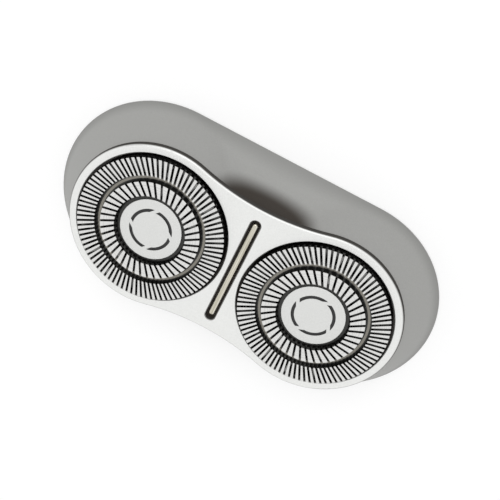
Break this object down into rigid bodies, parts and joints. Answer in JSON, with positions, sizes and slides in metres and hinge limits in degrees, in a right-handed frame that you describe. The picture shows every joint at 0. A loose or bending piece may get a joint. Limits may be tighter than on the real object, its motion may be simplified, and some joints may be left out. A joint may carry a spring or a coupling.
{
  "type": "rotary shaver head",
  "caption": "Clip-on rotary shaver head: flared grey stadium shell, silver waisted face plate, slotted floating foils over spinning cutters, spring-backed retaining frame with turn lock.",
  "frame": {"origin": "centre of the rear rim's plane, which is the bottom of the bounding box", "axes": "+X from the left foil to the right foil along the long side, +Z out of the shaving face, +Y across the head"},
  "size_m": [0.0588, 0.0308, 0.0085],
  "materials": {
    "shell_grey": "fine satin grain",
    "plate_silver": "satin",
    "bar_champagne": "lengthwise brushed",
    "chassis_dark": "matte",
    "magnet_nickel": "bright plating",
    "foil_steel": "polished tracks",
    "cap_silver": "satin with dark arc marks",
    "cutter_steel": "ground",
    "hub_plastic": "matte",
    "spring_steel": "stamped",
    "frame_plastic": "matte",
    "knob_plastic": "matte",
    "pin_steel": "turned"
  },
  "bodies": {
    "housing": {"shell": "shell_grey", "chassis": "chassis_dark", "face_plate": "plate_silver", "centre_bar": "bar_champagne", "front_magnet": "magnet_nickel", "back_magnet": "magnet_nickel", "retaining_frame": "frame_plastic", "knob_washer": "cutter_steel", "knob_pin": "pin_steel", "left_foil_spring": "spring_steel", "right_foil_spring": "spring_steel"},
    "left_foil_unit": {"left_foil": "foil_steel", "left_foil_cap": "cap_silver"},
    "right_foil_unit": {"right_foil": "foil_steel", "right_foil_cap": "cap_silver"},
    "left_cutter_unit": {"left_cutter": "cutter_steel", "left_cutter_hub": "hub_plastic"},
    "right_cutter_unit": {"right_cutter": "cutter_steel", "right_cutter_hub": "hub_plastic"},
    "lock": {"lock_knob": "knob_plastic"}
  },
  "joints": [
    {"name": "left_foil_float", "type": "slide", "parent": "housing", "child": "left_foil_unit", "axis": [0, 0, -1], "range_m": [0, 0.0008], "stiffness_N_per_m": 600, "springref_m": -0.001, "deforming": ["left_foil_spring"]},
    {"name": "right_foil_float", "type": "slide", "parent": "housing", "child": "right_foil_unit", "axis": [0, 0, -1], "range_m": [0, 0.0008], "stiffness_N_per_m": 600, "springref_m": -0.001, "deforming": ["right_foil_spring"]},
    {"name": "left_cutter_spin", "type": "hinge", "parent": "left_foil_unit", "child": "left_cutter_unit", "pos_m": [-0.0126, 0, 0.0057], "axis": [0, 0, 1], "continuous": true},
    {"name": "right_cutter_spin", "type": "hinge", "parent": "right_foil_unit", "child": "right_cutter_unit", "pos_m": [0.0126, 0, 0.0057], "axis": [0, 0, 1], "continuous": true},
    {"name": "lock_turn", "type": "hinge", "parent": "housing", "child": "lock", "pos_m": [0, 0, 0.0019], "axis": [0, 0, 1], "range_deg": [0, 45]}
  ]
}
